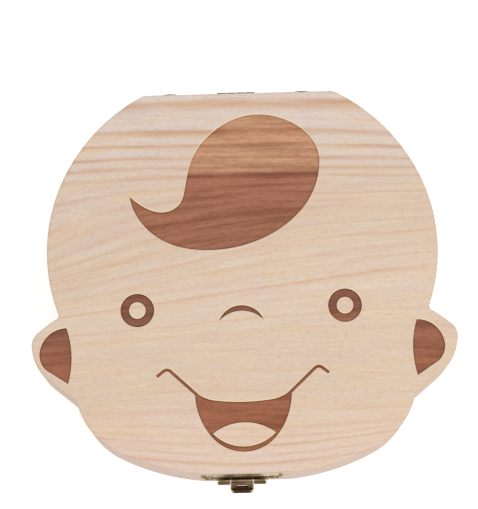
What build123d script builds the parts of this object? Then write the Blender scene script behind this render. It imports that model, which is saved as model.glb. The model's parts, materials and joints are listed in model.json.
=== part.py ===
"""Baby tooth box shaped as a smiling baby's head.

A routed pine base and lid with ears, a drilled tray for twenty milk teeth, a winged brass
hinge behind and a small brass hasp under the chin. Millimetres, +Z up, +Y towards the hinge,
origin on the underside of the base, on the axis of the head and half the depth from the hinge flat.
The hasp tongue stands swung out just clear of its nose, so that the lid is free to lift.
"""

import os
from math import cos, isclose, radians, sin

from build123d import *

# Whole box
box_width = 125.0  # across the ears
box_depth = 112.8  # from the hinge flat to the chin
base_height = 18.0
lid_height = 11.0
rear_flat = 56.6  # straight rear edge that carries the hinge
latch_land = 26.0  # flat under the chin that carries the hasp
latch_land_proud = 0.4  # the land stands this much further out than half the depth
half_width = box_width / 2
half_depth = box_depth / 2
front_depth = half_depth + latch_land_proud

# Outline of the head, right half, in shares of half the width and half the depth
shoulder_share = (0.677, 0.818)
temple_share = (0.848, 0.543)
neck_share = (0.867, -0.171)
ear_front_share = (0.928, -0.214)
ear_bend_share = (0.973, -0.253)
ear_tip_share = (1.000, -0.328)
ear_back_share = (0.932, -0.488)
jaw_top_share = (0.791, -0.617)
jaw_end_share = (0.605, -0.881)
chin_share = (0.391, -0.971)
rear_corner_radius = 4.0
land_corner_radius = 6.0
neck_radius = 1.2
ear_root_radius = 1.0

# Wood
side_wall = 8.0
base_floor = 3.0
lid_panel = 4.0
cavity_corner_radius = 5.0
lid_roundover = 0.6
parting_chamfer = 0.4
foot_chamfer = 0.8
engraving_depth = 0.4

# Face burnt into the lid, in shares of half the width and half the depth, right half but the hair
face_offset = -0.8  # the artwork sits a little left of the axis of the wood
eye_place_share = (0.488, -0.146)
eye_outer_radius = 4.95
eye_inner_radius = 2.45
nose_tip_share = (0.106, -0.213)
nose_top_share = (0.000, -0.132)
nose_inner_share = (0.000, -0.161)
lip_middle_share = (0.000, -0.637)
lip_bend_share = (0.132, -0.627)
lip_end_share = (0.229, -0.574)
mouth_corner_share = (0.226, -0.598)
mouth_side_share = (0.200, -0.728)
mouth_turn_share = (0.153, -0.814)
mouth_bottom_share = (0.000, -0.895)
tongue_corner_share = (0.147, -0.798)
tongue_top_share = (0.000, -0.743)
tongue_bottom_share = (0.000, -0.868)
smile_shares = [(0.403, -0.495), (0.354, -0.453), (0.211, -0.601)]
smile_bend_radius = 1.6
smile_stroke = 0.9
ear_patch_top_share = (0.822, -0.229)
ear_patch_front_share = (0.901, -0.259)
ear_patch_tip_share = (0.950, -0.356)
ear_patch_back_share = (0.897, -0.463)
ear_patch_foot_share = (0.818, -0.521)
ear_patch_inner_share = (0.800, -0.371)
hair_front_shares = [
    (-0.515, 0.458), (-0.436, 0.392), (-0.350, 0.370), (-0.281, 0.408), (-0.250, 0.502),
    (-0.210, 0.662), (-0.097, 0.807), (0.063, 0.879), (0.235, 0.849), (0.351, 0.751), (0.385, 0.578),
]
hair_back_shares = [
    (0.385, 0.578), (0.329, 0.413), (0.185, 0.262), (-0.024, 0.174), (-0.192, 0.165),
    (-0.351, 0.213), (-0.464, 0.321), (-0.515, 0.458),
]

# Plain ruled lines inside the lid for a name and dates
ruled_line_length = 58.0
ruled_line_width = 0.8
ruled_line_pitch = 14.0
ruled_line_count = 4
ruled_line_depth = 0.3

# Tray for the teeth
tray_thickness = 10.0
tray_clearance = 0.15
well_depth = 8.0
well_radius = 4.8
wells_per_jaw = 10
well_step = 17.0  # degrees between neighbouring teeth
arch_half_width = 38.0
arch_half_depth = 37.0
well_rim_chamfer = 0.4
keepsake_width = 23.0
keepsake_length = 30.0
keepsake_web = 6.0
keepsake_corner = 5.0

# Hinge on the rear flat
hinge_offset = -0.8  # the hinge is screwed on a little left of the axis
hinge_thickness = 0.6
hinge_leaf_corner = 2.2
hinge_barrel_length = 11.4
hinge_knuckles = 4
hinge_knuckle_radius = 1.3
hinge_pin_radius = 0.7
hinge_screw_spacing = 39.4
hinge_head_radius = 3.0
hinge_head_height = 0.7
hinge_end_margin = 0.3  # brass beyond the head of a screw, towards the end of a leaf
hinge_side_margin = 0.2  # brass beyond the head of a screw, towards the sides of a leaf
hinge_shank_radius = 1.0
hinge_shank_length = 6.0

# Hasp plate, pin and tongue on the lid
latch_offset = -1.9  # the hasp is screwed on a little left of the axis
hasp_thickness = 0.7
hasp_height = 6.0
hasp_corner = 1.6
hasp_barrel_length = 14.5
hasp_axis_rise = 0.9  # barrel axis above the parting line
hasp_knuckle_radius = 1.2
hasp_pin_radius = 0.6
hasp_screw_spacing = 19.0
hasp_end_margin = 0.9  # brass beyond the head of a screw
small_head_radius = 1.5
small_head_height = 0.6
small_shank_radius = 0.7
small_shank_length = 5.0
tongue_width = 7.0
tongue_thickness = 0.7
tongue_reach = 9.4  # from the barrel axis to the start of the curled lip
tongue_corner = 1.2
lip_radius = 1.0
lip_turn = 100.0  # degrees that the lip curls outwards
window_corner = 0.5
unclip_angle = 10.0  # degrees that the tongue stands out at rest

# Catch plate and nose on the base
catch_height = 8.5
catch_top_gap = 1.1  # below the parting line
catch_corner = 2.6
catch_screw_spacing = 11.4
catch_end_margin = 0.8  # brass beyond the head of a screw
nose_width = 2.8
nose_height = 1.8
nose_length = 1.35
nose_corner = 0.6
nose_rounding = 0.4

# Clearances
knuckle_gap = 0.1  # between neighbouring knuckles
barrel_clearance = 0.1  # between a barrel and the wood behind it
leaf_clearance = 0.2  # between a turning barrel and the edge of a leaf or plate
pin_clearance = 0.05
screw_clearance = 0.05
tongue_clearance = 0.25  # between the closed tongue and the catch plate
window_side_gap = 0.4  # between the nose and each side of the window
window_end_gap = 0.7  # between the nose and each end of the window
recess_depth_share = 0.5  # cross recess, of the height of the head
recess_width_share = 0.22  # of the radius of the head
recess_length_share = 1.2
rim_height_share = 0.5  # straight rim under the dome, of the height of the head
point_length_share = 1.5  # point of a screw, of the radius of its shank
brass_edge = 0.12  # chamfer on stamped and cut brass
same_place = 1e-3

# Heights and axes that follow
parting_height = base_height
box_height = base_height + lid_height
tray_top = base_floor + tray_thickness
hinge_axis_y = half_depth + barrel_clearance + hinge_knuckle_radius
hinge_width = hinge_screw_spacing + 2 * (hinge_head_radius + hinge_end_margin)
hinge_leaf_height = 2 * (hinge_head_radius + hinge_side_margin)
hinge_leaf_middle = hinge_knuckle_radius + hinge_leaf_height / 2  # from the parting line
hinge_pitch = hinge_barrel_length / hinge_knuckles
hinge_knuckle_length = hinge_pitch - knuckle_gap
hinge_hole_radius = hinge_shank_radius + screw_clearance
hinge_hole_depth = hinge_shank_length + screw_clearance
small_hole_radius = small_shank_radius + screw_clearance
small_hole_depth = small_shank_length + screw_clearance
hasp_width = hasp_screw_spacing + 2 * (small_head_radius + hasp_end_margin)
hasp_axis_out = barrel_clearance + hasp_knuckle_radius
hasp_axis_y = -front_depth - hasp_axis_out
hasp_axis_z = parting_height + hasp_axis_rise
hasp_bottom = hasp_axis_z + hasp_knuckle_radius + leaf_clearance
hasp_knuckle_length = (hasp_barrel_length - tongue_width) / 2 - knuckle_gap
hasp_knuckle_x = (hasp_barrel_length - hasp_knuckle_length) / 2
hasp_bore = hasp_pin_radius + pin_clearance
tongue_back = hasp_axis_out - hasp_thickness - tongue_clearance  # behind the barrel axis
tongue_middle = tongue_thickness / 2 - tongue_back
catch_width = catch_screw_spacing + 2 * (small_head_radius + catch_end_margin)
catch_z = parting_height - catch_top_gap - catch_height / 2
window_width = nose_width + 2 * window_side_gap
window_height = nose_height + 2 * window_end_gap
window_drop = hasp_axis_z - catch_z

# Faces that carry the brass, with x across the box and y up
rear_face = Plane.XZ.offset(-half_depth)
front_face = Plane.XZ.offset(front_depth)


def outline_point(share):
    """A point on the plan of the box from its shares of half the width and half the depth."""
    return (share[0] * half_width, share[1] * half_depth)


def mirrored(point):
    """The same point on the other side of the axis."""
    return (-point[0], point[1])


def corners_at(corners, point):
    """Those corners that lie at a point or at its mirror image."""
    return corners.filter_by(
        lambda corner: isclose(abs(corner.X), abs(point[0]), abs_tol=same_place)
        and isclose(corner.Y, point[1], abs_tol=same_place)
    )


def head_outline(with_ears):
    """Plan of the head, with its ears for the wood and without them for the hollows."""
    rear_corner = (rear_flat / 2, half_depth)
    neck = outline_point(neck_share)
    jaw_top = outline_point(jaw_top_share)
    jaw_end = outline_point(jaw_end_share)
    land_end = (latch_land / 2, -front_depth)
    with BuildSketch() as head:
        with BuildLine():
            Line((0, half_depth), rear_corner)
            shoulder = ThreePointArc(
                rear_corner, outline_point(shoulder_share), outline_point(temple_share)
            )
            TangentArc(shoulder @ 1, neck, tangent=shoulder % 1)
            if with_ears:
                ear_front = ThreePointArc(
                    neck, outline_point(ear_front_share), outline_point(ear_bend_share)
                )
                ear_tip = TangentArc(
                    ear_front @ 1, outline_point(ear_tip_share), tangent=ear_front % 1
                )
                ear_back = outline_point(ear_back_share)
                jaw_line = Line(ear_back, jaw_top)
                Spline(ear_tip @ 1, ear_back, tangents=[ear_tip % 1, jaw_line % 0])
            else:
                Line(neck, jaw_top)
            chin = ThreePointArc(land_end, outline_point(chin_share), jaw_end)
            TangentArc(jaw_end, jaw_top, tangent=chin % 1)
            Line(land_end, (0, -front_depth))
            mirror(about=Plane.YZ)
        make_face()
        fillet(corners_at(head.vertices(), land_end), radius=land_corner_radius)
        if with_ears:
            fillet(corners_at(head.vertices(), rear_corner), radius=rear_corner_radius)
            fillet(corners_at(head.vertices(), neck), radius=neck_radius)
            fillet(corners_at(head.vertices(), jaw_top), radius=ear_root_radius)
    return head.sketch


def hollow_outline(inset):
    """Plan of a hollow: an even wall inside the head, straight past the ears."""
    with BuildSketch() as hollow:
        add(head_outline(with_ears=False))
        offset(amount=-inset, kind=Kind.INTERSECTION)
        fillet(hollow.vertices().group_by(Axis.Y)[-1], radius=cavity_corner_radius)
    return hollow.sketch


def burnt_eyes():
    """Two rings."""
    place = outline_point(eye_place_share)
    with BuildSketch() as eyes:
        with Locations(place, mirrored(place)):
            Circle(eye_outer_radius)
            Circle(eye_inner_radius, mode=Mode.SUBTRACT)
    return eyes.sketch


def burnt_nose():
    """A crescent with its tips down."""
    tip = outline_point(nose_tip_share)
    with BuildSketch() as nose:
        with BuildLine():
            ThreePointArc(mirrored(tip), outline_point(nose_top_share), tip)
            ThreePointArc(mirrored(tip), outline_point(nose_inner_share), tip)
        make_face()
    return nose.sketch


def burnt_ears():
    """A half-moon on each ear."""
    with BuildSketch() as ears:
        with BuildLine():
            front = ThreePointArc(
                outline_point(ear_patch_top_share),
                outline_point(ear_patch_front_share),
                outline_point(ear_patch_tip_share),
            )
            back = TangentArc(
                front @ 1, outline_point(ear_patch_back_share), tangent=front % 1
            )
            Line(back @ 1, outline_point(ear_patch_foot_share))
            ThreePointArc(
                outline_point(ear_patch_foot_share),
                outline_point(ear_patch_inner_share),
                front @ 0,
            )
        make_face()
        mirror(about=Plane.YZ)
    return ears.sketch


def burnt_mouth():
    """An open smile with a bare tongue, drawn out to a hooked line on each cheek."""
    tongue_corner_point = outline_point(tongue_corner_share)
    with BuildSketch() as mouth:
        with BuildLine():
            lip_middle = TangentArc(
                outline_point(lip_middle_share), outline_point(lip_bend_share), tangent=(1, 0)
            )
            lip = TangentArc(
                lip_middle @ 1, outline_point(lip_end_share), tangent=lip_middle % 1
            )
            Line(lip @ 1, outline_point(mouth_corner_share))
            side = ThreePointArc(
                outline_point(mouth_corner_share),
                outline_point(mouth_side_share),
                outline_point(mouth_turn_share),
            )
            TangentArc(side @ 1, outline_point(mouth_bottom_share), tangent=side % 1)
            mirror(about=Plane.YZ)
        make_face()
        with BuildLine():
            ThreePointArc(
                mirrored(tongue_corner_point), outline_point(tongue_top_share), tongue_corner_point
            )
            ThreePointArc(
                mirrored(tongue_corner_point), outline_point(tongue_bottom_share), tongue_corner_point
            )
        make_face(mode=Mode.SUBTRACT)
        with BuildLine():
            FilletPolyline(*[outline_point(share) for share in smile_shares], radius=smile_bend_radius)
        trace(line_width=smile_stroke)
        with BuildLine():
            FilletPolyline(
                *[mirrored(outline_point(share)) for share in smile_shares], radius=smile_bend_radius
            )
        trace(line_width=smile_stroke)
    return mouth.sketch


def burnt_hair():
    """One swept curl with its tip to the left."""
    with BuildSketch() as hair:
        with BuildLine():
            Spline(*[outline_point(share) for share in hair_front_shares])
            Spline(*[outline_point(share) for share in hair_back_shares])
        make_face()
    return hair.sketch


def outward_planes(spacing, middle, height, face_y):
    """Planes of a pair of screws, side by side on a face of the brass, looking outwards."""
    outwards = (0, 1, 0) if face_y > 0 else (0, -1, 0)
    return [
        Plane(origin=(middle + side * spacing / 2, face_y, height), z_dir=outwards)
        for side in (-1, 1)
    ]


def cross_head_screw(head_radius, head_height, shank_radius, shank_length):
    """A domed screw with a cross recess, head up, seated at height zero."""
    rim_height = rim_height_share * head_height
    point_length = point_length_share * shank_radius
    with BuildPart() as screw:
        with BuildSketch(Plane.XZ):
            with BuildLine():
                Polyline(
                    (0, head_height),
                    (0, -shank_length),
                    (shank_radius, point_length - shank_length),
                    (shank_radius, 0),
                    (head_radius, 0),
                    (head_radius, rim_height),
                )
                TangentArc(
                    (0, head_height), (head_radius, rim_height), tangent=(1, 0)
                )
            make_face()
        revolve(axis=Axis.Z)
        with BuildSketch(Plane.XY.offset(head_height)):
            Rectangle(recess_length_share * head_radius, recess_width_share * head_radius)
            Rectangle(recess_width_share * head_radius, recess_length_share * head_radius)
        extrude(amount=-recess_depth_share * head_height, mode=Mode.SUBTRACT)
    return screw.part


def tooth_places():
    """Centres of the wells, the upper arch behind and the lower arch in front."""
    half_arch = (wells_per_jaw - 1) / 2 * well_step
    angles = [
        radians(middle - half_arch + tooth * well_step)
        for middle in (90, 270)
        for tooth in range(wells_per_jaw)
    ]
    return [(arch_half_width * cos(angle), arch_half_depth * sin(angle)) for angle in angles]


def barrel_pin(middle, length, axis_y, axis_z, radius):
    """A straight pin across the box with its ends eased."""
    with BuildPart() as pin:
        with BuildSketch(Plane.YZ.offset(middle)):
            with Locations((axis_y, axis_z)):
                Circle(radius)
        extrude(amount=length / 2, both=True)
        chamfer(pin.edges().filter_by(GeomType.CIRCLE), length=brass_edge)
    return pin.part


def screw_pair(seats, screw):
    """The same screw driven into each of a pair of seats."""
    with BuildPart() as screws:
        with Locations(*seats):
            add(screw)
    return screws.part


def hinge_leaf(side, knuckle_places, seats):
    """One leaf of the hinge, above the parting line for side 1 and below it for side -1."""
    with BuildPart() as leaf:
        with BuildSketch(rear_face):
            with Locations((hinge_offset, parting_height + side * hinge_leaf_middle)):
                RectangleRounded(hinge_width, hinge_leaf_height, hinge_leaf_corner)
            with Locations(
                *[(x, parting_height + side * hinge_leaf_middle / 2) for x in knuckle_places]
            ):
                Rectangle(hinge_knuckle_length, hinge_leaf_middle)
        extrude(amount=-hinge_thickness)
        chamfer(leaf.faces().sort_by(Axis.Y)[-1].edges(), length=brass_edge)
        for x in knuckle_places:
            with BuildSketch(Plane.YZ.offset(x)):
                with Locations((hinge_axis_y, parting_height)):
                    Circle(hinge_knuckle_radius)
            extrude(amount=hinge_knuckle_length / 2, both=True)
        with BuildSketch(Plane.YZ.offset(hinge_offset)):
            with Locations((hinge_axis_y, parting_height)):
                Circle(hinge_pin_radius + pin_clearance)
        extrude(amount=hinge_barrel_length, both=True, mode=Mode.SUBTRACT)
        with Locations(*seats):
            Hole(radius=hinge_hole_radius, depth=hinge_hole_depth)
    return leaf.part


# Plans and screws that several pieces share
head_plan = head_outline(with_ears=True)
hollow_plan = hollow_outline(side_wall)
tray_plan = hollow_outline(side_wall + tray_clearance)
face_plans = [burnt_eyes(), burnt_nose(), burnt_ears(), burnt_mouth(), burnt_hair()]
hinge_face_y = half_depth + hinge_thickness
hasp_face_y = -front_depth - hasp_thickness
hinge_lid_seats = outward_planes(
    hinge_screw_spacing, hinge_offset, parting_height + hinge_leaf_middle, hinge_face_y
)
hinge_base_seats = outward_planes(
    hinge_screw_spacing, hinge_offset, parting_height - hinge_leaf_middle, hinge_face_y
)
hasp_seats = outward_planes(
    hasp_screw_spacing, latch_offset, hasp_bottom + hasp_height / 2, hasp_face_y
)
catch_seats = outward_planes(catch_screw_spacing, latch_offset, catch_z, hasp_face_y)
hinge_screw = cross_head_screw(
    hinge_head_radius, hinge_head_height, hinge_shank_radius, hinge_shank_length
)
small_screw = cross_head_screw(
    small_head_radius, small_head_height, small_shank_radius, small_shank_length
)

# Base: routed hollow with a floor, pilot holes for the hinge and the catch
with BuildPart() as base_shell:
    with BuildSketch():
        add(head_plan)
    extrude(amount=base_height)
    chamfer(base_shell.faces().sort_by(Axis.Z)[0].edges(), length=foot_chamfer)
    chamfer(base_shell.faces().sort_by(Axis.Z)[-1].edges(), length=parting_chamfer)
    with BuildSketch(Plane.XY.offset(base_floor)):
        add(hollow_plan)
    extrude(amount=base_height, mode=Mode.SUBTRACT)
    with Locations(*hinge_base_seats):
        Hole(radius=hinge_hole_radius, depth=hinge_hole_depth)
    with Locations(*catch_seats):
        Hole(radius=small_hole_radius, depth=small_hole_depth)

# Lid: hollow under a panel, rounded over, with the face burnt into the top
with BuildPart() as lid_shell:
    with BuildSketch(Plane.XY.offset(parting_height)):
        add(head_plan)
    extrude(amount=lid_height)
    fillet(lid_shell.faces().sort_by(Axis.Z)[-1].edges(), radius=lid_roundover)
    chamfer(lid_shell.faces().sort_by(Axis.Z)[0].edges(), length=parting_chamfer)
    with BuildSketch(Plane.XY.offset(parting_height)):
        add(hollow_plan)
    extrude(amount=lid_height - lid_panel, mode=Mode.SUBTRACT)
    with BuildSketch(Plane.XY.offset(box_height - lid_panel)):
        with GridLocations(0, ruled_line_pitch, 1, ruled_line_count):
            SlotOverall(ruled_line_length, ruled_line_width)
    extrude(amount=ruled_line_depth, mode=Mode.SUBTRACT)
    with BuildSketch(Plane.XY.offset(box_height)):
        with Locations((face_offset, 0)):
            add(face_plans)
    extrude(amount=-engraving_depth, mode=Mode.SUBTRACT)
    with Locations(*hinge_lid_seats):
        Hole(radius=hinge_hole_radius, depth=hinge_hole_depth)
    with Locations(*hasp_seats):
        Hole(radius=small_hole_radius, depth=small_hole_depth)

# Tray: a round well for each milk tooth, in two arches, round two keepsake compartments
with BuildPart() as tooth_tray:
    with BuildSketch(Plane.XY.offset(base_floor)):
        add(tray_plan)
    extrude(amount=tray_thickness)
    with BuildSketch(Plane.XY.offset(tray_top)):
        with Locations(*tooth_places()):
            Circle(well_radius)
        with GridLocations(keepsake_width + keepsake_web, 0, 2, 1):
            RectangleRounded(keepsake_width, keepsake_length, keepsake_corner)
    extrude(amount=-well_depth, mode=Mode.SUBTRACT)
    rims = tooth_tray.faces().filter_by(Axis.Z).sort_by(Axis.Z)[-1].inner_wires()
    chamfer([edge for rim in rims for edge in rim.edges()], length=well_rim_chamfer)

# Hinge: two winged leaves whose rolled knuckles take turns along one pin
knuckle_row = [
    hinge_offset + (place - (hinge_knuckles - 1) / 2) * hinge_pitch for place in range(hinge_knuckles)
]
hinge_base_leaf = hinge_leaf(-1, knuckle_row[0::2], hinge_base_seats)
hinge_lid_leaf = hinge_leaf(1, knuckle_row[1::2], hinge_lid_seats)
hinge_pin = barrel_pin(
    hinge_offset, hinge_barrel_length, hinge_axis_y, parting_height, hinge_pin_radius
)
hinge_base_screws = screw_pair(hinge_base_seats, hinge_screw)
hinge_lid_screws = screw_pair(hinge_lid_seats, hinge_screw)

# Hasp plate: a strip screwed to the lid, with a knuckle on each side of the tongue
knuckle_pair = [latch_offset - hasp_knuckle_x, latch_offset + hasp_knuckle_x]
tab_height = hasp_bottom + hasp_height / 2 - hasp_axis_z
with BuildPart() as hasp_plate:
    with BuildSketch(front_face):
        with Locations((latch_offset, hasp_bottom + hasp_height / 2)):
            RectangleRounded(hasp_width, hasp_height, hasp_corner)
        with Locations(*[(x, hasp_axis_z + tab_height / 2) for x in knuckle_pair]):
            Rectangle(hasp_knuckle_length, tab_height)
    extrude(amount=hasp_thickness)
    chamfer(hasp_plate.faces().sort_by(Axis.Y)[0].edges(), length=brass_edge)
    for x in knuckle_pair:
        with BuildSketch(Plane.YZ.offset(x)):
            with Locations((hasp_axis_y, hasp_axis_z)):
                Circle(hasp_knuckle_radius)
        extrude(amount=hasp_knuckle_length / 2, both=True)
    with BuildSketch(Plane.YZ.offset(latch_offset)):
        with Locations((hasp_axis_y, hasp_axis_z)):
            Circle(hasp_bore)
    extrude(amount=hasp_barrel_length, both=True, mode=Mode.SUBTRACT)
    with Locations(*hasp_seats):
        Hole(radius=small_hole_radius, depth=small_hole_depth)

hasp_pin = barrel_pin(latch_offset, hasp_barrel_length, hasp_axis_y, hasp_axis_z, hasp_pin_radius)
hasp_plate_screws = screw_pair(hasp_seats, small_screw)

# Tongue: a strap rolled round the pin, with a window for the nose and a lip to lift it by
lean = radians(unclip_angle)
barrel_middle = (latch_offset, hasp_axis_y, hasp_axis_z)
outwards_of_tongue = (0, -cos(lean), sin(lean))
tongue_side = Plane(origin=barrel_middle, x_dir=outwards_of_tongue, z_dir=(-1, 0, 0))
tongue_front = Plane(origin=barrel_middle, x_dir=(1, 0, 0), z_dir=outwards_of_tongue)
tongue_crown = hasp_knuckle_radius + tongue_corner
tongue_foot = tongue_reach + lip_radius + tongue_thickness / 2
with BuildPart() as hasp_tongue:
    with BuildSketch(tongue_side):
        with BuildLine():
            Line(
                (tongue_middle, -(hasp_bore + hasp_knuckle_radius) / 2),
                (tongue_middle, -tongue_reach),
            )
            CenterArc((tongue_middle + lip_radius, -tongue_reach), lip_radius, 180, lip_turn)
        trace(line_width=tongue_thickness)
        Circle(hasp_knuckle_radius)
        Circle(hasp_bore, mode=Mode.SUBTRACT)
    extrude(amount=tongue_width / 2, both=True)
    with BuildSketch(tongue_front):
        with Locations((0, (tongue_crown - tongue_foot) / 2)):
            RectangleRounded(tongue_width, tongue_crown + tongue_foot, tongue_corner)
    extrude(amount=tongue_reach, both=True, mode=Mode.INTERSECT)
    with BuildSketch(tongue_front):
        with Locations((0, -window_drop)):
            RectangleRounded(window_width, window_height, window_corner)
    extrude(amount=tongue_reach, both=True, mode=Mode.SUBTRACT)

# Catch plate: screwed to the base, with a nose that the window of the tongue snaps over
with BuildPart() as catch_plate:
    with BuildSketch(front_face):
        with Locations((latch_offset, catch_z)):
            RectangleRounded(catch_width, catch_height, catch_corner)
    extrude(amount=hasp_thickness)
    chamfer(catch_plate.faces().sort_by(Axis.Y)[0].edges(), length=brass_edge)
    with BuildSketch(front_face.offset(hasp_thickness)):
        with Locations((latch_offset, catch_z)):
            RectangleRounded(nose_width, nose_height, nose_corner)
    extrude(amount=nose_length)
    fillet(catch_plate.faces().sort_by(Axis.Y)[0].edges(), radius=nose_rounding)
    with Locations(*catch_seats):
        Hole(radius=small_hole_radius, depth=small_hole_depth)

catch_plate_screws = screw_pair(catch_seats, small_screw)

pieces = {
    "base_shell": base_shell.part,
    "lid_shell": lid_shell.part,
    "tooth_tray": tooth_tray.part,
    "hinge_base_leaf": hinge_base_leaf,
    "hinge_lid_leaf": hinge_lid_leaf,
    "hinge_pin": hinge_pin,
    "hinge_base_screws": hinge_base_screws,
    "hinge_lid_screws": hinge_lid_screws,
    "hasp_plate": hasp_plate.part,
    "hasp_pin": hasp_pin,
    "hasp_tongue": hasp_tongue.part,
    "hasp_plate_screws": hasp_plate_screws,
    "catch_plate": catch_plate.part,
    "catch_plate_screws": catch_plate_screws,
}
os.makedirs("parts", exist_ok=True)
for name, piece in pieces.items():
    piece.label = name
    export_step(piece, f"parts/{name}.step")
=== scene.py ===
"""Looks of the baby tooth box: sanded pine with a laser-burnt face, and small plated brass fittings.

Metres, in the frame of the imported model: origin under the base, +Y to the hinge, +Z up.
Pattern sizes in the materials are written in millimetres.
"""

import json
from math import cos, radians, sin

import bmesh
import bpy
from mathutils import Matrix, Vector


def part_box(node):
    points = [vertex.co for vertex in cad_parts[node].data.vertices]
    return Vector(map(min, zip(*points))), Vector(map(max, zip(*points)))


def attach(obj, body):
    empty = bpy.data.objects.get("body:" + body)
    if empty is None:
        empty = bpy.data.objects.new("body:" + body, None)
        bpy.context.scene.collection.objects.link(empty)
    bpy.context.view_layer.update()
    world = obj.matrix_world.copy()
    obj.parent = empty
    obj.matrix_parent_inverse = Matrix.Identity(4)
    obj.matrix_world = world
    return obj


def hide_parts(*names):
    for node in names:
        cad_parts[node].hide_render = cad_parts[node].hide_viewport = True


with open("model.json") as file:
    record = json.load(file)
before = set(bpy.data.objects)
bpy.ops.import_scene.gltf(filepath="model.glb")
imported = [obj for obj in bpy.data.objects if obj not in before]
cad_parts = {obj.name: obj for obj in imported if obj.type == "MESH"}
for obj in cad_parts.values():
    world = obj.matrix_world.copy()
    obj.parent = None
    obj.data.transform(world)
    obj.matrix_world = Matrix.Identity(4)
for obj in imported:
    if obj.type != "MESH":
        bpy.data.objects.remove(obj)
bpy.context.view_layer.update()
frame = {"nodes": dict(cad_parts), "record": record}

MM = 0.001
FACE_FLOOR_DEPTH = 0.4 * MM  # of the burnt face below the top of the lid
RULED_LINE_DEPTH = 0.3 * MM  # of the ruled lines above the panel inside the lid
LID_PANEL = 4 * MM
SAME_HEIGHT = 0.02 * MM
SAME_POINT = 0.001 * MM
SMOOTH_ANGLE = radians(28)
COPLANAR_ANGLE = radians(0.5)
BEVEL_ANGLE = radians(40)
BEVEL_SEGMENTS = 2
SHEET_EDGE = 0.12 * MM  # rounding that tumbling leaves on the edges of stamped brass
STRAP_EDGE = 0.05 * MM  # the same on the narrow strap of the tongue
EDGE_SAMPLES = 8  # of the shader that looks for edges

REAR_EDGE_HIGHLIGHT_WIDTH = 0.6 * MM  # of the painted pale yellow highlight behind the burnt areas
CONTOUR_REACH = 0.8 * MM  # of the darker rim inside them

# Agreement of the true and the rounded normal that counts as fully on an edge
CONTOUR_FULL = 0.95  # of a burnt area
RUB_AND_HIGHLIGHT_FULL = 0.80  # of a piece of brass

NUMBER_HEIGHT = 3.4 * MM
NUMBER_DEPTH = 0.03 * MM
NUMBER_INSET = 7.6 * MM  # from the middle of a well towards the middle of the tray

CAMERA_TARGET = Vector((-1.03, 7.63, 29.0)) * MM
CAMERA_ELEVATION = radians(80.7)
CAMERA_DISTANCE = 700 * MM
CAMERA_ROLL = radians(1.49)
FOCAL_PIXELS = 2375.8  # for the photograph's frame, 509 pixels high
FRAME_HEIGHT_PIXELS = 509
SENSOR = 36.0
CLIP_NEAR = 50 * MM
CLIP_FAR = 10000 * MM

TABLE_REACH = 1500 * MM  # from the box to the edge of the floor
TABLE_GLOW = 0.50  # what the floor adds of its own where it is seen
ROOM_STRENGTH = 0.76
SOFTBOX_SIZE = 900 * MM
SOFTBOX_WATTS = 5.2
SOFTBOX_PLACE = (0.35, -0.15, 1.15)  # metres, above and to the right


def linear(code):
    """An sRGB hex colour as linear red, green, blue and alpha."""
    parts = [int(code[place:place + 2], 16) / 255 for place in (1, 3, 5)]
    return tuple(
        part / 12.92 if part <= 0.04045 else ((part + 0.055) / 1.055) ** 2.4 for part in parts
    ) + (1.0,)


def grey(level):
    """A plain number as the colour of a ramp stop."""
    return (level, level, level, 1.0)


def add(tree, kind, wires=None, out=0, stops=(), **settings):
    """Adds a node with its settings, input values or links and ramp stops, and gives one output."""
    node = tree.nodes.new("ShaderNode" + kind)
    for name, value in settings.items():
        setattr(node, name, value)
    for place, (position, colour) in enumerate(stops):
        elements = node.color_ramp.elements
        stop = elements[place] if place < len(elements) else elements.new(position)
        stop.position = position
        stop.color = colour
    for socket, value in (wires or {}).items():
        if isinstance(value, bpy.types.NodeSocket):
            tree.links.new(value, node.inputs[socket])
        else:
            node.inputs[socket].default_value = value
    return node.outputs[out] if node.outputs else node


def new_material(name):
    """An empty node material."""
    made = bpy.data.materials.new(name)
    made.use_nodes = True
    made.node_tree.nodes.clear()
    return made


# Boards. Each has late-wood bands across Y: (place, half width, strength), in millimetres at X = 0.
LID_BOARD = {
    "seed": 0.0,
    "top": 29.0,
    "bands": [
        (-54.0, 0.4, 0.8), (-51.4, 0.35, 0.6), (-48.6, 0.4, 0.8), (-46.2, 0.35, 0.5), (-43.6, 0.4, 0.6),
        (-38.2, 0.4, 0.5), (-32.4, 0.35, 0.4), (-26.5, 0.4, 0.3), (-20.6, 0.35, 0.35), (-15.6, 0.4, 0.3),
        (-11.8, 0.3, 0.55), (-3.0, 0.4, 0.8), (0.8, 0.3, 0.4), (4.0, 0.3, 0.6), (8.9, 0.35, 0.7),
        (14.0, 0.4, 0.9), (17.2, 0.3, 0.55), (20.0, 0.35, 0.7), (22.8, 0.3, 0.55), (25.1, 0.3, 0.65),
        (28.1, 0.3, 0.55), (31.3, 0.35, 0.85), (34.1, 0.45, 1.0), (37.1, 0.45, 1.0), (40.9, 0.5, 1.0),
        (45.3, 0.9, 1.0), (53.8, 1.3, 1.0),
    ],
}
BASE_BOARD = {
    "seed": 41.0,
    "top": 18.0,
    "bands": [
        (-60.0 + 5.2 * ring + 1.3 * sin(2.3 * ring), 0.6, 0.65 + 0.3 * sin(1.7 * ring))
        for ring in range(26)
    ],
}
TRAY_BOARD = {
    "seed": 87.0,
    "top": 13.0,
    "bands": [
        (-60.0 + 6.1 * ring + 1.6 * sin(1.9 * ring), 0.7, 0.60 + 0.3 * sin(2.6 * ring))
        for ring in range(21)
    ],
}
BOARD_SPAN = 76.0  # half of what a band ramp covers
BANDS_PER_RAMP = 7  # a ramp holds 32 stops, and each band takes four


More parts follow.
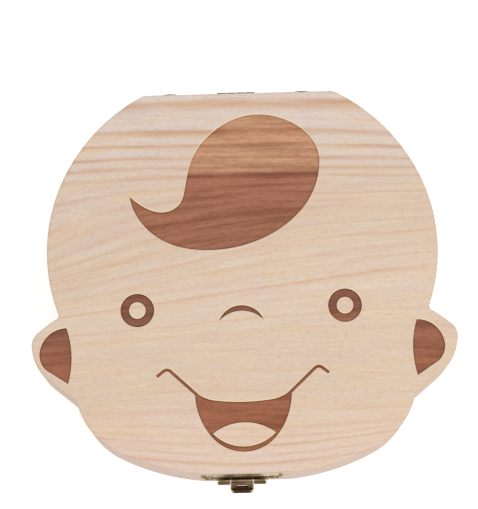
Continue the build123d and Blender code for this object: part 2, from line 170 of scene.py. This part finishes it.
def band_stops(bands):
    """Ramp stops of some late-wood bands. Each fades in from the front and ends at a crisp boundary."""
    stops = [(0.0, grey(0.0))]
    for place, half_width, strength in bands:
        for offset, level in ((-2.4, 0.0), (-0.8, 0.6), (0.0, 1.0), (1.0, 0.0)):
            position = (place + offset * half_width + BOARD_SPAN) / (2 * BOARD_SPAN)
            stops.append((position, grey(level * strength)))
    return stops


def grain(tree, board):
    """Coordinates in millimetres along the grain, the place across the board and the late wood."""
    place = add(tree, "TexCoord", out="Object")
    millimetres = add(tree, "VectorMath", {0: place, "Scale": 1 / MM}, operation="SCALE")
    shifted = add(tree, "VectorMath", {0: millimetres, 1: (board["seed"],) * 3}, operation="ADD")
    x = add(tree, "SeparateXYZ", {0: millimetres}, out="X")
    y = add(tree, "SeparateXYZ", {0: millimetres}, out="Y")
    z = add(tree, "SeparateXYZ", {0: millimetres}, out="Z")

    # The rings are nearly straight behind, climb to the right across the forehead and sag at the chin
    climb_behind = add(
        tree, "MapRange", {0: y, 1: 36.0, 2: 4.0, 3: -0.02, 4: 0.24}, interpolation_type="SMOOTHSTEP"
    )
    climb_before = add(
        tree, "MapRange", {0: y, 1: 8.0, 2: -26.0, 3: 1.0, 4: 0.0}, interpolation_type="SMOOTHSTEP"
    )
    sag = add(
        tree, "MapRange", {0: y, 1: -34.0, 2: -50.0, 3: -0.0004, 4: 0.0024}, interpolation_type="SMOOTHSTEP"
    )
    climb = add(tree, "Math", {0: climb_behind, 1: climb_before}, operation="MULTIPLY")
    squared = add(tree, "Math", {0: x, 1: x}, operation="MULTIPLY")
    straight = add(tree, "Math", {0: x, 1: 0.75}, operation="MULTIPLY")
    flattening = add(tree, "Math", {0: squared, 1: -0.0031, 2: straight}, operation="MULTIPLY_ADD")
    lifted = add(tree, "Math", {0: flattening, 1: climb}, operation="MULTIPLY")
    sagged = add(tree, "Math", {0: squared, 1: sag, 2: lifted}, operation="MULTIPLY_ADD")
    level = add(tree, "Math", {0: y, 1: sagged}, operation="SUBTRACT")

    # They lean through the thickness of the board and wander a little along their length
    lean = add(tree, "Math", {0: z, 1: board["top"]}, operation="SUBTRACT")
    ring = add(tree, "Math", {0: lean, 1: 0.8, 2: level}, operation="MULTIPLY_ADD")
    for length, width, sway in ((70, 30, 2.0), (24, 10, 0.8), (7, 3, 0.25), (2.5, 1.2, 0.15)):
        wave = add(tree, "Mapping", {"Vector": shifted, "Scale": (1 / length, 1 / width, 1 / width)})
        noise = add(tree, "TexNoise", {"Vector": wave, "Scale": 1.0, "Detail": 1.0})
        swing = add(tree, "Math", {0: noise, 1: 0.5}, operation="SUBTRACT")
        ring = add(tree, "Math", {0: swing, 1: sway, 2: ring}, operation="MULTIPLY_ADD")

    across = add(tree, "MapRange", {0: ring, 1: -BOARD_SPAN, 2: BOARD_SPAN, 3: 0.0, 4: 1.0})
    late = 0.0
    for first in range(0, len(board["bands"]), BANDS_PER_RAMP):
        stops = band_stops(board["bands"][first:first + BANDS_PER_RAMP])
        bands = add(tree, "ValToRGB", {0: across}, stops=stops)
        late = add(tree, "Math", {0: bands, 1: late}, operation="MAXIMUM")

    # A line fades and comes back every few centimetres
    fading = add(tree, "Mapping", {"Vector": shifted, "Scale": (1 / 30, 1 / 5, 1 / 5)})
    fade = add(tree, "TexNoise", {"Vector": fading, "Scale": 1.0, "Detail": 1.0})
    left = add(tree, "MapRange", {0: fade, 1: 0.36, 2: 0.56, 3: 0.45, 4: 1.0})
    late = add(tree, "Math", {0: late, 1: left}, operation="MULTIPLY")

    # Streaks lie along the rings, so they are drawn on the height of the rings instead of on Y
    along = add(tree, "SeparateXYZ", {0: shifted}, out="X")
    through = add(tree, "SeparateXYZ", {0: shifted}, out="Z")
    flow = add(tree, "CombineXYZ", {"X": along, "Y": ring, "Z": through})
    return {"flow": flow, "across": across, "late": late}


def ring_stops(*tones):
    """Ramp stops of the plain wood between the bands: (place in millimetres, sRGB hex)."""
    return [((place + BOARD_SPAN) / (2 * BOARD_SPAN), linear(code)) for place, code in tones]


def streaked(tree, rings, colour, streaks, blend="MIX"):
    """Lays streaks along the grain over a colour: (length, width, from, to, strength, sRGB hex)."""
    for length, width, start, full, strength, code in streaks:
        place = add(tree, "Mapping", {"Vector": rings["flow"], "Scale": (1 / length, 1 / width, 1 / width)})
        noise = add(tree, "TexNoise", {"Vector": place, "Scale": 1.0, "Detail": 2.0})
        share = add(tree, "MapRange", {0: noise, 1: start, 2: full, 3: 0.0, 4: strength})
        colour = add(
            tree, "Mix", {"Factor": share, 6: colour, 7: linear(code)}, out=2, data_type="RGBA",
            blend_type=blend,
        )
    return colour


def front_fall(tree, reach):
    """From 0 at the reach in metres to 1 at a sharp edge that falls to the front."""
    true_normal = add(tree, "NewGeometry", out="Normal")
    rounded = add(tree, "Bevel", {"Radius": reach}, samples=EDGE_SAMPLES)
    turn = add(tree, "VectorMath", {0: rounded, 1: true_normal}, operation="SUBTRACT")
    lean = add(tree, "SeparateXYZ", {0: turn}, out="Y")
    return add(tree, "MapRange", {0: lean, 1: -0.05, 2: -0.30, 3: 0.0, 4: 1.0})


def near_edge(tree, reach, full):
    """From 0 at the reach in metres to 1 at a sharp edge, where the normals agree by full only."""
    true_normal = add(tree, "NewGeometry", out="Normal")
    rounded = add(tree, "Bevel", {"Radius": reach}, samples=EDGE_SAMPLES)
    agreement = add(tree, "VectorMath", {0: true_normal, 1: rounded}, out="Value", operation="DOT_PRODUCT")
    return add(tree, "MapRange", {0: agreement, 1: 0.99, 2: full, 3: 0.0, 4: 1.0})


PINE_STREAKS = [
    (26, 3.2, 0.48, 0.66, 0.44, "#eacda2"),  # honey wisps
    (32, 6.0, 0.48, 0.68, 0.35, "#e2c5b8"),  # pink wisps
    (22, 1.5, 0.50, 0.70, 0.30, "#efe0d0"),  # silky pale fibres
    (11, 0.40, 0.50, 0.75, 0.24, "#d0a174"),  # resin canals, half a millimetre wide
    (1.8, 0.33, 0.50, 0.68, 0.34, "#cfa780"),  # short pores
]


def pine(name, board, lit_rear_edges=False):
    """Sanded pine: pale earlywood with honey late-wood bands, silky fibres and a faint sheen.

    With lit rear edges, a pale yellow painted highlight lies on the top behind each burnt area.
    """
    made = new_material(name)
    tree = made.node_tree
    rings = grain(tree, board)
    earlywood = add(
        tree, "ValToRGB", {0: rings["across"]},
        stops=ring_stops(
            (-58, "#e9d1c4"), (-46, "#ead1bd"), (-30, "#e3ccb6"), (-5, "#e7d1be"), (12, "#e2cbb6"),
            (30, "#e2ccbb"), (35, "#e3d1c5"), (54, "#e5d5cc"),
        ),
    )
    latewood = add(
        tree, "ValToRGB", {0: rings["across"]},
        stops=ring_stops(
            (-58, "#d7a57c"), (-22, "#dcb084"), (14, "#dbae80"), (29, "#d29f70"), (36, "#cb9363"),
        ),
    )
    banded = add(
        tree, "Mix", {"Factor": rings["late"], 6: earlywood, 7: latewood}, out=2, data_type="RGBA"
    )
    colour = streaked(tree, rings, banded, PINE_STREAKS)
    if lit_rear_edges:
        # Painted highlight: pale yellow along the edges that fall to the front into the burnt areas
        edge = front_fall(tree, REAR_EDGE_HIGHLIGHT_WIDTH)
        colour = add(
            tree, "Mix", {"Factor": edge, 6: colour, 7: linear("#f8e4b4")}, out=2, data_type="RGBA"
        )

    # Sanding leaves the hard late wood and the fibres a few hundredths of a millimetre proud
    fibre_place = add(tree, "Mapping", {"Vector": rings["flow"], "Scale": (1 / 14, 1 / 0.45, 1 / 0.45)})
    fibres = add(tree, "TexNoise", {"Vector": fibre_place, "Scale": 1.0, "Detail": 2.0})
    height = add(tree, "Math", {0: fibres, 1: rings["late"]}, operation="ADD")
    bump = add(tree, "Bump", {"Height": height, "Strength": 0.2, "Distance": 0.04 * MM})
    roughness = add(tree, "MapRange", {0: fibres, 1: 0.3, 2: 0.7, 3: 0.50, 4: 0.62})
    shader = add(
        tree, "BsdfPrincipled",
        {"Base Color": colour, "Roughness": roughness, "Normal": bump, "IOR": 1.45,
         "Specular IOR Level": 0.35},
    )
    add(tree, "OutputMaterial", {"Surface": shader})
    return made


# Burnt streaks darken what lies under them
BURNT_STREAKS = [
    (34, 2.6, 0.45, 0.65, 0.55, "#cbbab2"),  # scorched deeper along soft fibres
    (16, 0.9, 0.48, 0.68, 0.35, "#c9b4aa"),  # fine late wood
    (2.0, 0.35, 0.45, 0.70, 0.45, "#c8b4aa"),  # single dots of the laser
]


def burnt_pine(name, board):
    """Pine scorched by a laser: matt walnut brown that keeps the grain, darkest along its contour."""
    made = new_material(name)
    tree = made.node_tree
    rings = grain(tree, board)
    depth = add(
        tree, "ValToRGB", {0: rings["across"]},
        stops=ring_stops(
            (-52, "#ad7154"), (-30, "#ac6e54"), (-14, "#a66f58"), (-11, "#946250"), (8.5, "#926049"),
            (11.5, "#ab745b"), (30, "#b47a60"), (31.8, "#9c664e"), (33, "#d8a684"), (54, "#d3a07e"),
        ),
    )
    banded = add(
        tree, "Mix", {"Factor": rings["late"], 6: depth, 7: linear("#ddc8bb")}, out=2, data_type="RGBA",
        blend_type="MULTIPLY",
    )
    colour = streaked(tree, rings, banded, BURNT_STREAKS, "MULTIPLY")
    contour = add(
        tree, "ValToRGB", {0: rings["across"]}, stops=ring_stops((30, "#c8b7ad"), (33.5, "#ebe3dc"))
    )
    rim = near_edge(tree, CONTOUR_REACH, CONTOUR_FULL)
    colour = add(
        tree, "Mix", {"Factor": rim, 6: colour, 7: contour}, out=2, data_type="RGBA", blend_type="MULTIPLY"
    )
    scan_place = add(tree, "Mapping", {"Vector": rings["flow"], "Scale": (1 / 9, 1 / 0.5, 1 / 0.5)})
    scans = add(tree, "TexNoise", {"Vector": scan_place, "Scale": 1.0, "Detail": 2.0})
    bump = add(tree, "Bump", {"Height": scans, "Strength": 0.5, "Distance": 0.08 * MM})
    shader = add(
        tree, "BsdfPrincipled",
        {"Base Color": colour, "Roughness": 0.85, "Normal": bump, "Specular IOR Level": 0.2},
    )
    add(tree, "OutputMaterial", {"Surface": shader})
    return made


def plated_brass(name, face, rim, roughness, rub_and_highlight_reach, bright_ends=None, dark_foot=None):
    """Brass plate, tarnished brown on its faces and pale along its edges, partly rubbed bright and partly a
    painted highlight.

    Bright ends are given as the middle and the distances from it, along X in millimetres, between
    which the rims change from the face colour to their pale colour of wear and painted highlight. A dark
    foot is given as the two heights in millimetres between which painted shade darkens the faces, and its
    colour.
    """
    made = new_material(name)
    tree = made.node_tree
    place = add(tree, "TexCoord", out="Object")
    millimetres = add(tree, "VectorMath", {0: place, "Scale": 1 / MM}, operation="SCALE")
    cloud = add(tree, "TexNoise", {"Vector": millimetres, "Scale": 0.45, "Detail": 3.0})
    grit = add(tree, "TexNoise", {"Vector": millimetres, "Scale": 3.0, "Detail": 2.0})
    tarnish = add(tree, "MapRange", {0: cloud, 1: 0.35, 2: 0.65, 3: 0.0, 4: 1.0})
    faces = add(
        tree, "Mix", {"Factor": tarnish, 6: linear(face[0]), 7: linear(face[1])}, out=2, data_type="RGBA"
    )
    # Painted shade: the faces darken towards the foot, below a given height
    if dark_foot:
        plain_above, dark_below, code = dark_foot
        z = add(tree, "SeparateXYZ", {0: millimetres}, out="Z")
        deep = add(tree, "MapRange", {0: z, 1: plain_above, 2: dark_below, 3: 0.0, 4: 1.0})
        faces = add(tree, "Mix", {"Factor": deep, 6: faces, 7: linear(code)}, out=2, data_type="RGBA")
    # Pale edges: partly rubbed bright, partly a painted highlight
    bright = near_edge(tree, rub_and_highlight_reach, RUB_AND_HIGHLIGHT_FULL)
    # The rubbed and painted highlight on the rims is kept to the ends along X, and the middle stays dull
    if bright_ends:
        middle, dull_to, bright_from = bright_ends
        x = add(tree, "SeparateXYZ", {0: millimetres}, out="X")
        aside = add(tree, "Math", {0: x, 1: middle}, operation="SUBTRACT")
        far = add(tree, "Math", {0: aside}, operation="ABSOLUTE")
        lit_ends = add(tree, "MapRange", {0: far, 1: dull_to, 2: bright_from, 3: 0.0, 4: 1.0})
        bright = add(tree, "Math", {0: bright, 1: lit_ends}, operation="MULTIPLY")
    colour = add(tree, "Mix", {"Factor": bright, 6: faces, 7: linear(rim)}, out=2, data_type="RGBA")
    rough = add(tree, "MapRange", {0: grit, 1: 0.3, 2: 0.7, 3: roughness - 0.06, 4: roughness + 0.08})
    bump = add(tree, "Bump", {"Height": grit, "Strength": 0.12, "Distance": 0.03 * MM})
    shader = add(
        tree, "BsdfPrincipled",
        {"Base Color": colour, "Metallic": 1.0, "Roughness": rough, "Normal": bump,
         "Specular Tint": linear("#aca49a")},
    )
    add(tree, "OutputMaterial", {"Surface": shader})
    return made


SANDED_PINE_LID = pine("sanded_pine_lid", LID_BOARD, lit_rear_edges=True)
SANDED_PINE_BASE = pine("sanded_pine_base", BASE_BOARD)
SANDED_PINE_TRAY = pine("sanded_pine_tray", TRAY_BOARD)
BURNT_PINE = burnt_pine("laser_burnt_pine", LID_BOARD)
BURNT_NUMBERS = burnt_pine("laser_burnt_numbers", TRAY_BOARD)
HASP_MIDDLE = sum(corner.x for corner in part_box("hasp_plate")) / 2 / MM
# Rims pale from wear and painted highlight, kept off the middle of the hasp
BRASS_STRAP = plated_brass(
    "tarnished_brass_strap", ("#6f5847", "#8c725c"), "#fff6d8", 0.32, 0.90 * MM, (HASP_MIDDLE, 2.2, 2.8),
    # painted shade darkens the lip of the tongue below 12.4 mm
    (12.4, 9.6, "#4e3422"),
)
# Rims pale from wear and painted highlight, only at the ends of the plate
BRASS_PLATE = plated_brass(
    "plated_brass_sheet", ("#5c4933", "#7d6a50"), "#fff1ca", 0.28, 0.95 * MM, (HASP_MIDDLE, 5.0, 6.6)
)
BRASS_CATCH = plated_brass("plated_brass_catch", ("#756042", "#96805a"), "#f6eabf", 0.28, 0.40 * MM)
BRASS_HINGE = plated_brass("dull_brass_hinge", ("#66564a", "#7d6b58"), "#b7a68c", 0.38, 0.45 * MM)
BRASS_PIN = plated_brass("drawn_brass_wire", ("#7a664a", "#958062"), "#d6c8a0", 0.32, 0.15 * MM)
BRASS_SCREW = plated_brass("turned_brass_screw", ("#7d6848", "#a28a63"), "#f2e4b6", 0.26, 0.20 * MM)
BRASS_HINGE_SCREW = plated_brass("dull_brass_screw", ("#66564a", "#7d6b58"), "#a6967c", 0.38, 0.20 * MM)


def shown_copy(node, body, materials, pick=None, eased=0.0):
    """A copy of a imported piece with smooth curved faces, and eased edges where a width is given.

    Pick gives a face's material by its place.
    """
    source = frame["nodes"][node]
    mesh = source.data.copy()
    mesh.materials.clear()
    for made in materials:
        mesh.materials.append(made)
    work = bmesh.new()
    work.from_mesh(mesh)
    bmesh.ops.remove_doubles(work, verts=work.verts, dist=SAME_POINT)
    if eased:
        bmesh.ops.dissolve_limit(
            work, angle_limit=COPLANAR_ANGLE, verts=work.verts, edges=work.edges
        )
    for face in work.faces:
        face.smooth = True
        face.material_index = pick(face) if pick else 0
    for edge in work.edges:
        edge.smooth = len(edge.link_faces) == 2 and edge.calc_face_angle(0) < SMOOTH_ANGLE
    work.to_mesh(mesh)
    work.free()
    piece = bpy.data.objects.new("shown_" + node, mesh)
    bpy.context.scene.collection.objects.link(piece)
    if eased:
        bevel = piece.modifiers.new("eased_edges", "BEVEL")
        bevel.width = eased
        bevel.segments = BEVEL_SEGMENTS
        bevel.limit_method = "ANGLE"
        bevel.angle_limit = BEVEL_ANGLE
        bevel.harden_normals = True
    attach(piece, body)
    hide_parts(node)
    return piece


lid_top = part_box("lid_shell")[1].z
face_floor = lid_top - FACE_FLOOR_DEPTH
ruled_floor = lid_top - LID_PANEL + RULED_LINE_DEPTH


def lid_finish(face):
    """Burnt on the floors of the face and of the ruled lines, and on the low walls round them."""
    heights = [vertex.co.z for vertex in face.verts]
    on_face_floor = max(heights) < face_floor + SAME_HEIGHT and min(heights) > face_floor - SAME_HEIGHT
    on_ruled_floor = min(heights) > ruled_floor - SAME_HEIGHT and max(heights) < ruled_floor + SAME_HEIGHT
    return 1 if on_face_floor or on_ruled_floor else 0


FINISHES = {
    "base_shell": ("base", [SANDED_PINE_BASE], None, 0.0),
    "tooth_tray": ("base", [SANDED_PINE_TRAY], None, 0.0),
    "lid_shell": ("lid", [SANDED_PINE_LID, BURNT_PINE], lid_finish, 0.0),
    "hinge_base_leaf": ("base", [BRASS_HINGE], None, 0.0),
    "hinge_lid_leaf": ("lid", [BRASS_HINGE], None, 0.0),
    "hinge_pin": ("base", [BRASS_PIN], None, 0.0),
    "hinge_base_screws": ("base", [BRASS_HINGE_SCREW], None, 0.0),
    "hinge_lid_screws": ("lid", [BRASS_HINGE_SCREW], None, 0.0),
    "hasp_plate": ("lid", [BRASS_PLATE], None, SHEET_EDGE),
    "hasp_pin": ("lid", [BRASS_PIN], None, 0.0),
    "hasp_tongue": ("tongue", [BRASS_STRAP], None, STRAP_EDGE),
    "hasp_plate_screws": ("lid", [BRASS_SCREW], None, 0.0),
    "catch_plate": ("base", [BRASS_CATCH], None, SHEET_EDGE),
    "catch_plate_screws": ("base", [BRASS_SCREW], None, 0.0),
}
for node, (body, materials, pick, eased) in FINISHES.items():
    shown_copy(node, body, materials, pick, eased)


def well_numbers():
    """Plain numbers burnt beside the wells, each towards the middle of the tray."""
    wells = [o for o in frame["record"]["physics"]["openings"] if "tooth_well" in o["name"]]
    tray_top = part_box("tooth_tray")[1].z
    for count, well in enumerate(wells, start=1):
        low, high = (Vector(corner) for corner in well["box_m"])
        middle = ((low + high) / 2).xy
        place = middle - middle.normalized() * NUMBER_INSET
        curve = bpy.data.curves.new(f"number_{count}", "FONT")
        curve.body = str(count)
        curve.size = NUMBER_HEIGHT
        curve.align_x = "CENTER"
        curve.align_y = "CENTER"
        curve.extrude = NUMBER_DEPTH / 2
        curve.materials.append(BURNT_NUMBERS)
        number = bpy.data.objects.new(f"well_number_{count}", curve)
        number.location = (place.x, place.y, tray_top + NUMBER_DEPTH / 2)
        bpy.context.scene.collection.objects.link(number)
        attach(number, "base")


well_numbers()


def pale_floor():
    """A matt white table that keeps the shadow of the box."""
    mesh = bpy.data.meshes.new("floor")
    corners = [
        (x_side * TABLE_REACH, y_side * TABLE_REACH, 0)
        for x_side, y_side in ((-1, -1), (1, -1), (1, 1), (-1, 1))
    ]
    mesh.from_pydata(corners, [], [(0, 1, 2, 3)])
    made = new_material("matt_white_table")
    tree = made.node_tree
    diffuse = add(tree, "BsdfDiffuse", {"Color": linear("#f4f3f2")})
    seen = add(tree, "LightPath", out="Is Camera Ray")
    glossy = add(tree, "LightPath", out="Is Glossy Ray")
    through = add(tree, "LightPath", out="Is Transmission Ray")
    either = add(tree, "Math", {0: seen, 1: glossy}, operation="MAXIMUM")
    shown = add(tree, "Math", {0: either, 1: through}, operation="MAXIMUM")
    strength = add(tree, "Math", {0: shown, 1: TABLE_GLOW}, operation="MULTIPLY")
    glow = add(tree, "Emission", {"Color": linear("#ffffff"), "Strength": strength})
    both = add(tree, "AddShader", {0: diffuse, 1: glow})
    add(tree, "OutputMaterial", {"Surface": both})
    mesh.materials.append(made)
    floor = bpy.data.objects.new("floor", mesh)
    bpy.context.scene.collection.objects.link(floor)


def studio():
    """A white room, dimmer towards the horizon, and one broad lamp above the box."""
    world = bpy.data.worlds.new("white_room")
    world.use_nodes = True
    tree = world.node_tree
    tree.nodes.clear()
    direction = add(tree, "TexCoord", out="Generated")
    height = add(tree, "SeparateXYZ", {0: direction}, out="Z")
    sky = add(
        tree, "ValToRGB", {0: height},
        stops=[(0.0, grey(0.56)), (0.25, grey(0.66)), (0.6, grey(0.86)), (1.0, grey(0.93))],
    )
    room = add(tree, "Background", {"Color": sky, "Strength": ROOM_STRENGTH})
    white = add(tree, "Background", {"Color": linear("#ffffff"), "Strength": 1.0})
    seen = add(tree, "LightPath", out="Is Camera Ray")
    both = add(tree, "MixShader", {0: seen, 1: room, 2: white})
    add(tree, "OutputWorld", {"Surface": both})
    bpy.context.scene.world = world

    lamp = bpy.data.lights.new("softbox", "AREA")
    lamp.shape = "SQUARE"
    lamp.size = SOFTBOX_SIZE
    lamp.energy = SOFTBOX_WATTS
    softbox = bpy.data.objects.new("softbox", lamp)
    softbox.location = SOFTBOX_PLACE
    softbox.rotation_euler = (-softbox.location).to_track_quat("-Z", "Y").to_euler()
    bpy.context.scene.collection.objects.link(softbox)


def photo_camera():
    """Looks steeply down on the lid from the side of the hasp, turned a little clockwise."""
    data = bpy.data.cameras.new("camera")
    data.sensor_width = SENSOR
    data.lens = FOCAL_PIXELS / FRAME_HEIGHT_PIXELS * SENSOR
    data.clip_start = CLIP_NEAR
    data.clip_end = CLIP_FAR
    camera = bpy.data.objects.new("camera", data)
    forward = Vector((0, cos(CAMERA_ELEVATION), -sin(CAMERA_ELEVATION)))
    turn = forward.to_track_quat("-Z", "Y").to_matrix().to_4x4() @ Matrix.Rotation(-CAMERA_ROLL, 4, "Z")
    camera.matrix_world = Matrix.Translation(CAMERA_TARGET - forward * CAMERA_DISTANCE) @ turn
    bpy.context.scene.collection.objects.link(camera)
    bpy.context.scene.camera = camera


pale_floor()
studio()
photo_camera()
bpy.context.scene.view_settings.view_transform = "Standard"
